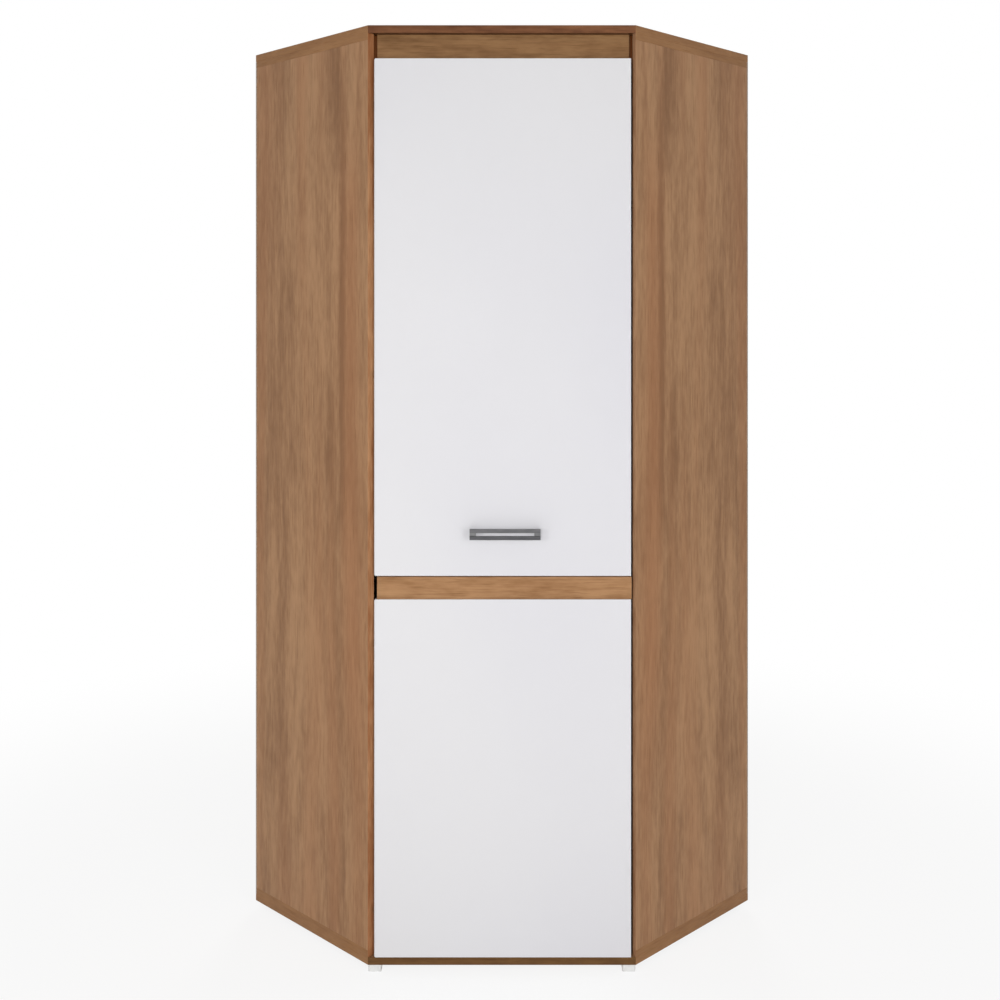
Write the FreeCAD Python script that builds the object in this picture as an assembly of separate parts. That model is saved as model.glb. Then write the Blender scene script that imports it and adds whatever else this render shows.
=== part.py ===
"""Corner wardrobe with one tall door across its cut corner, in millimetres.

It is drawn with the front of its boards on y = 0, +Y running back to the corner of the room and
+Z up from the floor, and is moved at the end so that the origin is the bottom centre of its box.
"""
import math
import os

import FreeCAD
import Part

V = FreeCAD.Vector
UP = V(0, 0, 1)
ROOT2 = math.sqrt(2)

# Carcass: a square corner unit with its front corner cut off at 45 degrees
wall_leg = 803.0
side_depth = 410.0
carcass_height = 1950.0
glide_height = 14.0
board = 16.0
side_strip_height = 14.0
back_sheet = 3.0
sheet_gap = 0.3
post_size = 45.0
post_rounding = 6.0

# Inside: a hat shelf and the clothes rail that hangs below it
hat_space = 300.0
shelf_front = 45.0
shelf_gap = 1.0
clothes_rail_end_gap = 155.0
clothes_rail_drop = 62.0
oval_height = 30.0
oval_width = 15.0
oval_wall = 1.2
hanger_fit = 0.1
hanger_wall = 3.0
hanger_width = 14.0
hanger_plate_length = 58.0
hanger_plate_thickness = 2.5

# Rail under the top board that the door closes against
top_rail_end_gap = 6.4
top_rail_rebate = 8.0
top_rail_tongue = 8.0
top_rail_play = 0.7
top_rail_height = 68.0
top_rail_setback = 18.0
bumper_radius = 4.5
bumper_gap = 0.2

# Door leaf: two gloss panels and a wood strip, held together by a board behind
door_thickness = 16.0
door_proud = 3.0
hinge_side_gap = 1.4
latch_side_gap = 4.6
latch_bevel = 8.0
door_bottom_gap = 1.5
door_top_drop = 53.6
lower_panel_height = 741.5
strip_band = 49.0
door_rounding = 4.0
strip_setback = 4.0
strip_short = 6.0
strip_reach = 1.8
strip_shadow_gap = 2.8
backing_inset = 52.0
backing_overlap = 58.0

# Handle: two bars side by side on two posts
handle_length = 145.6
handle_bar_height = 8.0
handle_bar_depth = 5.5
handle_bar_gap = 6.5
handle_projection = 28.0
handle_screw_spacing = 128.0
handle_post_width = 12.5
handle_post_lap = 3.0
handle_notch = 2.0
handle_rounding = 1.2
handle_above_strip = 90.0
handle_offset = 5.2

# Concealed hinge: a cup let into the door, and an arm on the side panel that turns on a pin in it
hinge_end_distance = 95.0
pin_from_edge = 9.0
pin_from_front = 8.4
pin_radius = 1.5
pin_fit = 0.02
pin_run = 0.05
eye_radius = 3.2
cup_radius = 17.4
cup_wall = 1.2
cup_floor = 0.8
cup_edge_distance = 5.0
cup_fit = 0.1
lug_half_width = 3.8
lug_thickness = 4.0
door_skin = 3.8
flange_thickness = 1.2
flange_rim = 2.0
flange_wing_width = 15.0
flange_wing_reach = 30.0
flange_screw_spacing = 48.0
flange_screw_offset = 9.5
arm_half_width = 7.0
arm_neck = 4.0
arm_notch_play = 0.6
arm_back = 62.0
arm_start = 4.0
arm_low = 22.0
arm_high = 31.0
arm_sheet = 1.6
plate_thickness = 2.0
plate_wing_width = 14.0
plate_wing_reach = 26.0
plate_screw_spacing = 36.0
plate_screw_depth = 37.0
plate_play = 0.2

# Fasteners
cam_radius = 7.4
cam_depth = 12.5
cam_reach = 34.0
cam_play = 0.1
bolt_radius = 3.0
bolt_bite = 11.0
bolt_play = 0.05
screw_radius = 1.75
screw_head_radius = 3.5
screw_head_height = 2.0
screw_bite = 11.0
machine_screw_radius = 2.0
machine_screw_head = 4.0
screw_play = 0.05
through_play = 0.25
dowel_radius = 4.0
dowel_bite = 11.0
dowel_length = 34.0
peg_radius = 3.0
peg_length = 24.0

# Floor glides
glide_size = 27.0
glide_rounding = 3.0
glide_edge = 0.6
glide_inboard = 52.0
glide_recess_radius = 5.5
glide_recess_depth = 6.0
nail_radius = 1.3
nail_head_radius = 4.0
nail_head_height = 1.2

# Sizes that follow from the ones above
half_front = (wall_leg - side_depth) / ROOT2
back_corner = (side_depth + wall_leg) / ROOT2
carcass_bottom = glide_height
carcass_top = glide_height + carcass_height
inside_bottom = carcass_bottom + board
inside_top = carcass_top - board
panel_depth = side_depth - back_sheet
post_face = wall_leg - back_sheet
door_front = -door_proud
door_back = door_thickness - door_proud
hinge_face = -half_front + board / ROOT2
latch_face = half_front - (board - latch_bevel) / ROOT2
door_left = hinge_face + hinge_side_gap
door_right = latch_face - latch_side_gap
door_bottom = inside_bottom + door_bottom_gap
strip_bottom = door_bottom + lower_panel_height
strip_top = strip_bottom + strip_band
door_top = inside_top - door_top_drop
top_rail_left = hinge_face + top_rail_end_gap
top_rail_length = latch_face - top_rail_end_gap - top_rail_left
top_rail_bottom = inside_top - top_rail_height
top_rail_back = top_rail_setback + board
pin_x = door_left + pin_from_edge
pin_y = door_front + pin_from_front
cup_x = door_left + cup_edge_distance + cup_radius + cup_fit
cup_bottom = door_front + door_skin + cup_fit
cup_inside = cup_bottom + cup_floor
flange_screw_x = cup_x + flange_screw_offset
notch_half = arm_half_width + arm_notch_play
lug_reach = notch_half + lug_thickness
first_hinge = door_bottom + hinge_end_distance
second_hinge = strip_bottom - hinge_end_distance
last_hinge = door_top - hinge_end_distance
hinge_levels = (first_hinge, second_hinge, (second_hinge + last_hinge) / 2, last_hinge)
plate_screw_levels = (-plate_screw_spacing / 2, plate_screw_spacing / 2)
handle_height = strip_top + handle_above_strip
handle_back = door_front - handle_projection + handle_bar_depth
handle_x = (door_left + door_right) / 2 + handle_offset
handle_screws_x = (handle_x - handle_screw_spacing / 2, handle_x + handle_screw_spacing / 2)
handle_bar_shift = (handle_bar_gap + handle_bar_height) / 2
backing_bottom = strip_bottom - backing_overlap
backing_top = strip_top + backing_overlap
backing_back = door_back + board
shelf_underside = inside_top - hat_space - board
shelf_middle = shelf_underside + board / 2
clothes_rail_level = shelf_underside - clothes_rail_drop
clothes_rail_depth = side_depth / ROOT2
clothes_rail_length = 2 * (half_front + clothes_rail_depth - board * ROOT2 - clothes_rail_end_gap)
hanger_x = clothes_rail_length / 2 - hanger_width / 2
front_y = door_front - handle_projection
middle_y = (front_y + back_corner) / 2


def block(x0, x1, y0, y1, z0, z1):
    """Box between two opposite corners."""
    return Part.makeBox(x1 - x0, y1 - y0, z1 - z0, V(x0, y0, z0))


def prism(points, z0, z1):
    """Upright prism on a plan outline."""
    corners = [V(x, y, z0) for x, y in points]
    face = Part.Face(Part.makePolygon(corners + corners[:1]))
    return face.extrude(V(0, 0, z1 - z0))


def rod(radius, start, end):
    """Round bar from one point to another."""
    run = end - start
    return Part.makeCylinder(radius, run.Length, start, run)


def rounded_block(x0, x1, y0, y1, z0, z1, radius):
    """Box with its four upright edges rounded."""
    core = block(x0 + radius, x1 - radius, y0, y1, z0, z1)
    core = core.fuse(block(x0, x1, y0 + radius, y1 - radius, z0, z1))
    for x in (x0 + radius, x1 - radius):
        for y in (y0 + radius, y1 - radius):
            core = core.fuse(rod(radius, V(x, y, z0), V(x, y, z1)))
    return core.removeSplitter()


def mirrored(shape):
    """The same piece on the other half of the wardrobe."""
    return shape.mirror(V(0, 0, 0), V(1, 0, 0))


def on_left(shape):
    """Moves a piece from the side's own axes, x inward, y from front to wall, to the left side."""
    placed = shape.copy()
    placed.rotate(V(0, 0, 0), UP, 45)
    placed.translate(V(-half_front, 0, 0))
    return placed


def on_right(shape):
    return mirrored(on_left(shape))


def plan_point(inward, back):
    """Plan position of a point given in the left side's own axes."""
    return (-half_front + (inward - back) / ROOT2, (inward + back) / ROOT2)


def set_at(shape, origin, along, face):
    """Lays a fitting drawn along X with its face to +Z at a point, along and facing as told."""
    turn = FreeCAD.Rotation(along, face.cross(along), face, "XZY")
    placed = shape.copy()
    placed.Placement = FreeCAD.Placement(origin, turn).multiply(shape.Placement)
    return placed


def cam_bolt():
    """Bolt that screws into one board at x < 0 and whose head the cam in the other board pulls."""
    thread = rod(bolt_radius, V(-bolt_bite, 0, 0), V(0, 0, 0))
    shank = rod(bolt_radius * 0.8, V(0, 0, 0), V(cam_reach - 6, 0, 0))
    head = rod(bolt_radius * 1.1, V(cam_reach - 6, 0, 0), V(cam_reach - 2, 0, 0))
    return thread.fuse([shank, head])


def cam_lock():
    """Cam disc with a cross recess in its face and a mouth for the bolt's head."""
    face = board / 2
    disc = rod(cam_radius, V(cam_reach, 0, face - cam_depth + cam_play), V(cam_reach, 0, face))
    mouth = rod(bolt_radius * 1.1 + cam_play, V(0, 0, 0), V(cam_reach + 1, 0, 0))
    slot = block(cam_reach - 4, cam_reach + 4, -0.8, 0.8, face - 2, face + 1)
    cross = block(cam_reach - 0.8, cam_reach + 0.8, -4, 4, face - 2, face + 1)
    return disc.cut([mouth, slot, cross])


def cam_board_hole():
    return rod(bolt_radius + bolt_play, V(-bolt_bite - bolt_play, 0, 0), V(0.5, 0, 0))


def cam_edge_hole():
    """Hole along the second board for the bolt, with the blind bore for its cam."""
    way = rod(bolt_radius * 1.1 + cam_play, V(-0.5, 0, 0), V(cam_reach, 0, 0))
    bore_bottom = V(cam_reach, 0, board / 2 - cam_depth)
    bore = rod(cam_radius + cam_play, bore_bottom, V(cam_reach, 0, board / 2 + 1))
    return way.fuse(bore)


def side_joints(shape):
    """One copy of a fitting at each joint of a side panel with the boards, in the side's axes."""
    placed = []
    for back in (panel_depth * 0.16, panel_depth * 0.84):
        middle = board / 2
        placed.append(set_at(shape, V(middle, back, inside_top), -UP, V(1, 0, 0)))
        placed.append(set_at(shape, V(middle, back, inside_bottom), UP, V(1, 0, 0)))
    return placed


def shelf_joints(shape):
    """One copy of a fitting at each joint of the shelf with a side panel, in the side's axes."""
    starts = [V(board, panel_depth * part, shelf_middle) for part in (0.3, 0.84)]
    return [set_at(shape, start, V(1, 0, 0), -UP) for start in starts]


def rail_joints(shape):
    """One copy of a fitting at each joint of the top rail with the top board."""
    middle = top_rail_setback + board / 2
    starts = [V(top_rail_left + top_rail_length * part, middle, inside_top) for part in (0.1, 0.9)]
    return [set_at(shape, start, -UP, V(0, 1, 0)) for start in starts]


def both_sides(shapes):
    return [on_left(shape) for shape in shapes] + [on_right(shape) for shape in shapes]


def all_joints(shape):
    return both_sides(side_joints(shape) + shelf_joints(shape)) + rail_joints(shape)


def post_axis():
    """Plan position of the middle of the back corner post."""
    return plan_point(post_face - post_size / 2, panel_depth - post_size / 2)


def post_dowels(grow=0.0):
    """Dowels that pin the post to the two boards, or the holes for them when grown."""
    x, y = post_axis()
    radius = dowel_radius + grow
    low = inside_bottom - dowel_bite - grow
    high = inside_top + dowel_bite + grow
    length = dowel_length + 2 * grow
    pins = []
    for at in (x - post_size / 5, x + post_size / 5):
        pins.append(rod(radius, V(at, y, low), V(at, y, low + length)))
        pins.append(rod(radius, V(at, y, high - length), V(at, y, high)))
    return pins


def glide_middles():
    """Plan positions of the floor glides, one near each corner of the bottom board."""
    inset = glide_edge + glide_size / 2
    far_x, far_y = plan_point(glide_inboard, side_depth - glide_inboard)
    front_left = (-half_front + inset, inset)
    front_right = (half_front - inset, inset)
    back = (0, back_corner - glide_inboard * ROOT2)
    return (front_left, front_right, (far_x, far_y), (-far_x, far_y), back)


def floor_glide(x, y):
    """Plastic glide with a recess from below for the nail that holds it."""
    half = glide_size / 2
    pad = rounded_block(x - half, x + half, y - half, y + half, 0, glide_height, glide_rounding)
    recess = rod(glide_recess_radius, V(x, y, -1), V(x, y, glide_recess_depth))
    hole = rod(nail_radius + screw_play, V(x, y, 0), V(x, y, glide_height + 1))
    return pad.cut([recess, hole])


def glide_nail(x, y):
    seat = glide_recess_depth
    head = rod(nail_head_radius, V(x, y, seat - nail_head_height), V(x, y, seat))
    return head.fuse(rod(nail_radius, V(x, y, seat), V(x, y, carcass_bottom + screw_bite)))


def nail_hole(x, y):
    top = carcass_bottom + screw_bite + screw_play
    return rod(nail_radius + screw_play, V(x, y, carcass_bottom - 1), V(x, y, top))


def plan_outline():
    far_x, far_y = plan_point(0, side_depth)
    return [(-half_front, 0), (half_front, 0), (-far_x, far_y), (0, back_corner), (far_x, far_y)]


def top_board():
    blank = prism(plan_outline(), inside_top, carcass_top)
    hole = cam_board_hole()
    return blank.cut(both_sides(side_joints(hole)) + rail_joints(hole) + post_dowels(screw_play))


def bottom_board():
    blank = prism(plan_outline(), carcass_bottom, inside_bottom)
    nails = [nail_hole(x, y) for x, y in glide_middles()]
    return blank.cut(both_sides(side_joints(cam_board_hole())) + post_dowels(screw_play) + nails)


def side_panel():
    """Side panel in its own axes, square at the front, bored for the cams and shelf bolts."""
    low = inside_bottom + side_strip_height
    high = inside_top - side_strip_height
    blank = block(0, board, 0, panel_depth, low, high)
    return blank.cut(side_joints(cam_edge_hole()) + shelf_joints(cam_board_hole()))


def latch_arris(piece):
    """Bevels the inner front arris of a piece of the latch side, so that it stands parallel to the leaf."""
    low = piece.BoundBox.ZMin - 1
    high = piece.BoundBox.ZMax + 1
    wedge = [(board - latch_bevel - 1, -1), (board + 1, -1), (board + 1, latch_bevel + 1)]
    return piece.cut(prism(wedge, low, high))


def side_strip(low):
    """Cross-grain strip between a side panel and a board, in the side's own axes."""
    blank = block(0, board, 0, panel_depth, low, low + side_strip_height)
    return blank.cut(side_joints(cam_edge_hole()))


def back_sheet_piece(length):
    return block(0, length, panel_depth, side_depth, inside_bottom, inside_top)


def shelf_pegs(grow=0.0):
    """Pegs in the post's two inner faces that carry the back of the shelf, or their holes."""
    face = post_face - post_size
    level = shelf_underside - peg_radius
    middle = panel_depth - post_size / 2
    start = V(face + peg_length / 2 + grow, middle, level)
    peg = rod(peg_radius + grow, start, V(face - peg_length / 2, middle, level))
    return both_sides([peg])


def back_corner_post():
    """Square post in the corner of the room, its free arris rounded."""
    inner = post_face - post_size
    front = panel_depth - post_size
    rounding = post_rounding
    post = block(inner, post_face, front, panel_depth, inside_bottom, inside_top)
    corner = block(inner, inner + rounding, front, front + rounding, inside_bottom, inside_top)
    axis = V(inner + rounding, front + rounding, inside_bottom)
    corner = corner.cut(rod(rounding, axis, V(axis.x, axis.y, inside_top)))
    return on_left(post.cut(corner)).cut(post_dowels(screw_play) + shelf_pegs(screw_play))


def hat_shelf():
    """Five-sided shelf between the side panels, notched round the post."""
    back = panel_depth - shelf_gap
    front_left = plan_point(board, shelf_front * ROOT2 - board)
    back_left = plan_point(board, back)
    corner = plan_point(post_face - shelf_gap, back)
    outline = [front_left, (-front_left[0], front_left[1]), (-back_left[0], back_left[1]), corner, back_left]
    blank = prism(outline, shelf_underside, shelf_underside + board)
    room = post_size + shelf_gap
    notch = on_left(block(post_face - room, wall_leg, panel_depth - room, side_depth, 0, carcass_top))
    holes = both_sides(shelf_joints(cam_edge_hole()))
    return blank.cut([notch] + holes + [hanger_screw_hole(x, y) for x, y in hanger_screw_points()])


def oval(x0, x1, width, height):
    """Bar along X with a flat-sided oval section, centred on the clothes rail."""
    radius = width / 2
    y = clothes_rail_depth
    low = V(x0, y, clothes_rail_level - height / 2 + radius)
    high = V(x0, y, clothes_rail_level + height / 2 - radius)
    side = V(0, radius, 0)
    cap = V(0, 0, radius)
    edges = [
        Part.makeLine(low - side, high - side),
        Part.Arc(high - side, high + cap, high + side).toShape(),
        Part.makeLine(high + side, low + side),
        Part.Arc(low + side, low - cap, low - side).toShape(),
    ]
    return Part.Face(Part.Wire(edges)).extrude(V(x1 - x0, 0, 0))


def clothes_rail():
    half = clothes_rail_length / 2
    bore = oval(-half - 1, half + 1, oval_width - 2 * oval_wall, oval_height - 2 * oval_wall)
    return oval(-half, half, oval_width, oval_height).cut(bore)


def hanger_screw_points():
    """Plan positions of the two screws of each rail hanger."""
    reach = hanger_plate_length / 2 - screw_head_radius - 3
    return [(x, clothes_rail_depth + y) for x in (-hanger_x, hanger_x) for y in (-reach, reach)]


def hanger_screw_hole(x, y):
    top = shelf_underside + screw_bite + screw_play
    return rod(screw_radius + screw_play, V(x, y, shelf_underside - 1), V(x, y, top))


def hanger_screw(x, y):
    seat = shelf_underside - hanger_plate_thickness
    head = rod(screw_head_radius, V(x, y, seat - screw_head_height), V(x, y, seat))
    return head.fuse(rod(screw_radius, V(x, y, seat), V(x, y, shelf_underside + screw_bite)))


def rail_hanger(x):
    """Plate under the shelf, a stem and an oval ring that holds the end of the clothes rail."""
    x0 = x - hanger_width / 2
    x1 = x + hanger_width / 2
    y = clothes_rail_depth
    reach = hanger_plate_length / 2
    seat = shelf_underside - hanger_plate_thickness
    plate = rounded_block(x0, x1, y - reach, y + reach, seat, shelf_underside, hanger_width / 3)
    stem_half = oval_width / 3
    stem = block(x0 + 2, x1 - 2, y - stem_half, y + stem_half, clothes_rail_level, seat)
    ring = oval(x0, x1, oval_width + 2 * hanger_wall, oval_height + 2 * hanger_wall)
    bore = oval(x0 - 1, x1 + 1, oval_width + 2 * hanger_fit, oval_height + 2 * hanger_fit)
    holes = []
    for screw_x, screw_y in hanger_screw_points():
        low = V(screw_x, screw_y, seat - 1)
        holes.append(rod(screw_radius + through_play, low, V(screw_x, screw_y, shelf_underside + 1)))
    return plate.fuse([stem, ring]).cut([bore] + holes).removeSplitter()


def top_front_rail():
    """Rail with rebated ends: its face stops short of the sides, and a tongue behind closes the gaps, cut
    back to keep its play wherever it would reach a side."""
    right = top_rail_left + top_rail_length
    face = block(top_rail_left, right, top_rail_setback, top_rail_back, top_rail_bottom, inside_top)
    tongue = block(hinge_face - top_rail_tongue, latch_face + top_rail_tongue,
                   top_rail_setback + top_rail_rebate, top_rail_back, top_rail_bottom, inside_top)
    beside = block(0, board + top_rail_play, 0, panel_depth, top_rail_bottom, inside_top)
    tongue = tongue.cut(both_sides([beside]))
    return face.fuse(tongue).removeSplitter().cut(rail_joints(cam_edge_hole()))


def door_bumper(x):
    """Soft stop on the rail, slightly tapered, that the top of the leaf closes on."""
    level = (top_rail_bottom + door_top) / 2
    height = top_rail_setback - door_back - bumper_gap
    start = V(x, top_rail_setback, level)
    return Part.makeCone(bumper_radius, bumper_radius * 0.8, height, start, V(0, -1, 0))


def door_bumpers():
    return [door_bumper(top_rail_left + top_rail_length * part) for part in (0.7, 0.92)]


def hinge_notch(level):
    """Room in the leaf's edge for the arm to swing through, open to the back and the side."""
    right = pin_x + eye_radius + 0.3
    low = level - notch_half
    return block(door_left - 1, right, cup_inside, door_back + flange_thickness + 1, low, level + notch_half)


def cup_bore(level):
    floor = V(cup_x, cup_bottom - cup_fit, level)
    return rod(cup_radius + cup_fit, floor, V(cup_x, door_back + 1, level))


def cup_lugs(level, grow=0.0):
    """The two cheeks beside the arm that hold the pin, with room for the arm not yet cut."""
    half = lug_half_width + grow
    reach = lug_reach + grow
    return block(pin_x - half, pin_x + half, cup_bottom - grow, door_back + grow, level - reach, level + reach)


def cup_screw_points(level):
    half = flange_screw_spacing / 2
    return (V(flange_screw_x, door_back, level - half), V(flange_screw_x, door_back, level + half))


def cup_screw(point):
    """Screw through the cup's flange into the leaf, pointing forward."""
    seat = point + V(0, flange_thickness, 0)
    head = rod(screw_head_radius, seat, seat + V(0, screw_head_height, 0))
    return head.fuse(rod(screw_radius, seat, point - V(0, screw_bite, 0)))


def cup_screw_hole(point):
    return rod(screw_radius + screw_play, point + V(0, 1, 0), point - V(0, screw_bite + screw_play, 0))


def hinge_cup(level):
    """Cup with a flange and two wings, its wall open towards the edge and bored for the pin."""
    cup = rod(cup_radius, V(cup_x, cup_bottom, level), V(cup_x, door_back, level))
    back = door_back + flange_thickness
    rim = rod(cup_radius + flange_rim, V(cup_x, door_back, level), V(cup_x, back, level))
    half_wing = flange_wing_width / 2
    wing = block(flange_screw_x - half_wing, flange_screw_x + half_wing, door_back, back,
                 level - flange_wing_reach, level + flange_wing_reach)
    hollow = rod(cup_radius - cup_wall, V(cup_x, cup_inside, level), V(cup_x, back + 1, level))
    reach = lug_reach + 1
    pin_way = rod(pin_radius + pin_fit, V(pin_x, pin_y, level - reach), V(pin_x, pin_y, level + reach))
    cuts = [pin_way, hinge_notch(level)]
    for point in cup_screw_points(level):
        cuts.append(rod(screw_radius + through_play, point - V(0, 1, 0), point + V(0, 3, 0)))
    shell = cup.fuse([rim, wing]).cut(hollow)
    return shell.fuse(cup_lugs(level)).cut(cuts).removeSplitter()


def hinge_pin(level):
    """Pin across the cup, its ends in the two lugs."""
    reach = lug_reach - pin_radius / 4
    return rod(pin_radius, V(pin_x, pin_y, level - reach), V(pin_x, pin_y, level + reach))


def arm_screw_point():
    return (arm_start + arm_back) / 2


def hinge_arm(level):
    """Cranked arm: a channel over the mounting plate, a web and a neck that ends in the pin's eye."""
    channel = block(arm_low, arm_high, arm_start, arm_back, -arm_half_width - 1, arm_half_width + 1)
    inner_half = arm_half_width + 1 - arm_sheet
    hollow_start = arm_start + 2 * arm_sheet
    hollow = block(arm_low - 1, arm_high - arm_sheet, hollow_start, arm_back + 1, -inner_half, inner_half)
    middle = arm_screw_point()
    hole = rod(machine_screw_radius + through_play, V(arm_low, middle, 0), V(arm_high + 1, middle, 0))
    channel = on_left(channel.cut([hollow, hole]))
    left = pin_x - arm_neck / 2
    right = pin_x + arm_neck / 2
    web = [
        (left, pin_y),
        (right, pin_y),
        (right, pin_y + eye_radius * 4.4),
        plan_point(arm_high, arm_start + arm_sheet),
        plan_point(arm_low + arm_sheet, arm_start + arm_sheet),
        (left, pin_y + eye_radius * 3),
    ]
    neck = prism(web, -arm_half_width, arm_half_width)
    eye = rod(eye_radius, V(pin_x, pin_y, -arm_half_width), V(pin_x, pin_y, arm_half_width))
    bore = rod(pin_radius + pin_run, V(pin_x, pin_y, -arm_half_width - 1), V(pin_x, pin_y, arm_half_width + 1))
    arm = channel.fuse([neck, eye]).cut(bore).removeSplitter()
    arm.translate(V(0, 0, level))
    return arm


def hinge_plate(level):
    """Winged mounting plate on the side panel, with the block that the arm's channel sits over."""
    low = plate_screw_depth - plate_wing_width / 2
    wing = rounded_block(0, plate_thickness, low, low + plate_wing_width, 0, 2 * plate_wing_reach, 0.5)
    wing.translate(V(board, 0, -plate_wing_reach))
    half = arm_half_width + 1 - arm_sheet - plate_play
    start = arm_start + 3 * arm_sheet
    rest = block(board, arm_high - arm_sheet, start, arm_back - 1, -half, half)
    middle = arm_screw_point()
    hole = rod(machine_screw_radius + screw_play, V(board + 1, middle, 0), V(arm_high + 1, middle, 0))
    plate = wing.fuse(rest).cut(hole)
    for z in plate_screw_levels:
        start_point = V(board - 1, plate_screw_depth, z)
        end_point = V(board + plate_thickness + 1, plate_screw_depth, z)
        plate = plate.cut(rod(screw_radius + through_play, start_point, end_point))
    plate = on_left(plate.removeSplitter())
    plate.translate(V(0, 0, level))
    return plate


def hinge_arm_screw(level):
    middle = arm_screw_point()
    top = V(arm_high, middle, level)
    head = rod(machine_screw_head, top, top + V(screw_head_height, 0, 0))
    return on_left(head.fuse(rod(machine_screw_radius, V(board + 2, middle, level), top)))


def plate_screws(level):
    """The two screws of a mounting plate, in place on the left side panel."""
    screws = []
    for z in plate_screw_levels:
        seat = V(board + plate_thickness, plate_screw_depth, level + z)
        head = rod(screw_head_radius, seat, seat + V(screw_head_height, 0, 0))
        screws.append(on_left(head.fuse(rod(screw_radius, V(board - screw_bite, seat.y, seat.z), seat))))
    return screws


def plate_screw_holes():
    """Pilot holes for the mounting plates, in the side panel's own axes."""
    holes = []
    for level in hinge_levels:
        for z in plate_screw_levels:
            end = V(board + 1, plate_screw_depth, level + z)
            start = V(board - screw_bite - screw_play, plate_screw_depth, level + z)
            holes.append(rod(screw_radius + screw_play, start, end))
    return holes


def backing_screw_points():
    """Where the backing board is screwed to the two door panels, on its back face."""
    margin = backing_overlap / 2
    span = door_right - door_left - 2 * backing_inset
    points = []
    for level in (backing_bottom + margin, backing_top - margin):
        for part in (0.06, 0.5, 0.94):
            points.append(V(door_left + backing_inset + span * part, backing_back, level))
    return points


def countersunk(point, grow):
    """Countersunk screw through the backing board into the leaf, or its hole when grown."""
    depth = screw_head_radius - screw_radius
    cone = Part.makeCone(screw_head_radius + grow, screw_radius + grow, depth, point, V(0, -1, 0))
    tip = V(point.x, door_back - screw_bite - grow, point.z)
    return cone.fuse(rod(screw_radius + grow, point - V(0, depth, 0), tip))


def door_backing_board():
    left = door_left + backing_inset
    right = door_right - backing_inset
    blank = block(left, right, door_back, backing_back, backing_bottom, backing_top)
    return blank.cut([countersunk(point, screw_play) for point in backing_screw_points()])


def leaf_panel(low, high):
    """Gloss panel with a rounded arris and rounded corners on its hinge side."""
    radius = door_rounding
    turn = radius * (1 - 1 / ROOT2)
    start = V(door_left + radius, door_front, low)
    middle = V(door_left + turn, door_front + turn, low)
    end = V(door_left, door_front + radius, low)
    corners = [end, V(door_left, door_back, low), V(door_right, door_back, low)]
    corners += [V(door_right, door_front, low), start]
    edges = [Part.makeLine(a, b) for a, b in zip(corners, corners[1:])]
    edges.append(Part.Arc(start, middle, end).toShape())
    blank = Part.Face(Part.Wire(edges)).extrude(V(0, 0, high - low))
    for level, corner_level in ((low, low + radius), (high, high - radius)):
        z0 = min(level, corner_level)
        corner = block(door_left - 1, door_left + radius, door_front - 1, door_back + 1, z0, z0 + radius)
        axis = V(door_left + radius, door_front - 2, corner_level)
        blank = blank.cut(corner.cut(rod(radius, axis, V(axis.x, door_back + 2, corner_level))))
    cuts = [countersunk(point, screw_play) for point in backing_screw_points()]
    for hinge in hinge_levels:
        cuts += [cup_bore(hinge), cup_lugs(hinge, cup_fit), hinge_notch(hinge)]
        cuts += [cup_screw_hole(point) for point in cup_screw_points(hinge)]
    for x in handle_screws_x:
        hole = rod(machine_screw_radius + through_play, V(x, door_front - 1, handle_height),
                   V(x, door_back + 1, handle_height))
        cuts.append(hole)
    return blank.cut(cuts)


def door_strip():
    front = door_front + strip_setback
    return block(door_left + strip_short, door_right + strip_reach, front, door_back,
                 strip_bottom, strip_top - strip_shadow_gap)


def handle_bar(level):
    """Bar with softly rounded edges along its length."""
    half = handle_length / 2
    bar = rounded_block(-handle_bar_height / 2, handle_bar_height / 2, -handle_bar_depth, 0,
                        -half, half, handle_rounding)
    bar.rotate(V(0, 0, 0), V(0, 1, 0), 90)
    bar.translate(V(handle_x, handle_back, level))
    return bar


def handle_bars():
    levels = (handle_height + handle_bar_shift, handle_height - handle_bar_shift)
    return [handle_bar(level) for level in levels]


def handle_post(x):
    """Post from the door to the ends of the bars, which lap over it above and below its nose."""
    side = 1 if x > handle_x else -1
    end = handle_x + side * handle_length / 2
    left, right = sorted((end, end - side * handle_post_width))
    reach = handle_bar_gap / 2 + handle_post_lap
    front = handle_back - handle_notch
    post = block(left, right, front, door_front, handle_height - reach, handle_height + reach)
    seats = []
    for bar in handle_bars():
        middle = bar.BoundBox.Center.z
        low = middle - handle_bar_height / 2
        seats.append(block(left, right, front, handle_back, low, low + handle_bar_height))
    hole_end = V(x, door_front - screw_bite - screw_play, handle_height)
    hole = rod(machine_screw_radius + screw_play, V(x, door_front + 1, handle_height), hole_end)
    return post.cut(seats + [hole])


def handle_screw(x):
    seat = V(x, door_back, handle_height)
    head = rod(machine_screw_head, seat, seat + V(0, screw_head_height, 0))
    return head.fuse(rod(machine_screw_radius, seat, V(x, door_front - screw_bite, handle_height)))


def save(name, *shapes):
    """Writes one node with its origin at the bottom centre of the wardrobe's box."""
    solid = Part.makeCompound(list(shapes)) if len(shapes) > 1 else shapes[0]
    solid.translate(V(0, -middle_y, 0))
    solid.exportStep("parts/" + name + ".step")


os.makedirs("parts", exist_ok=True)

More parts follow.
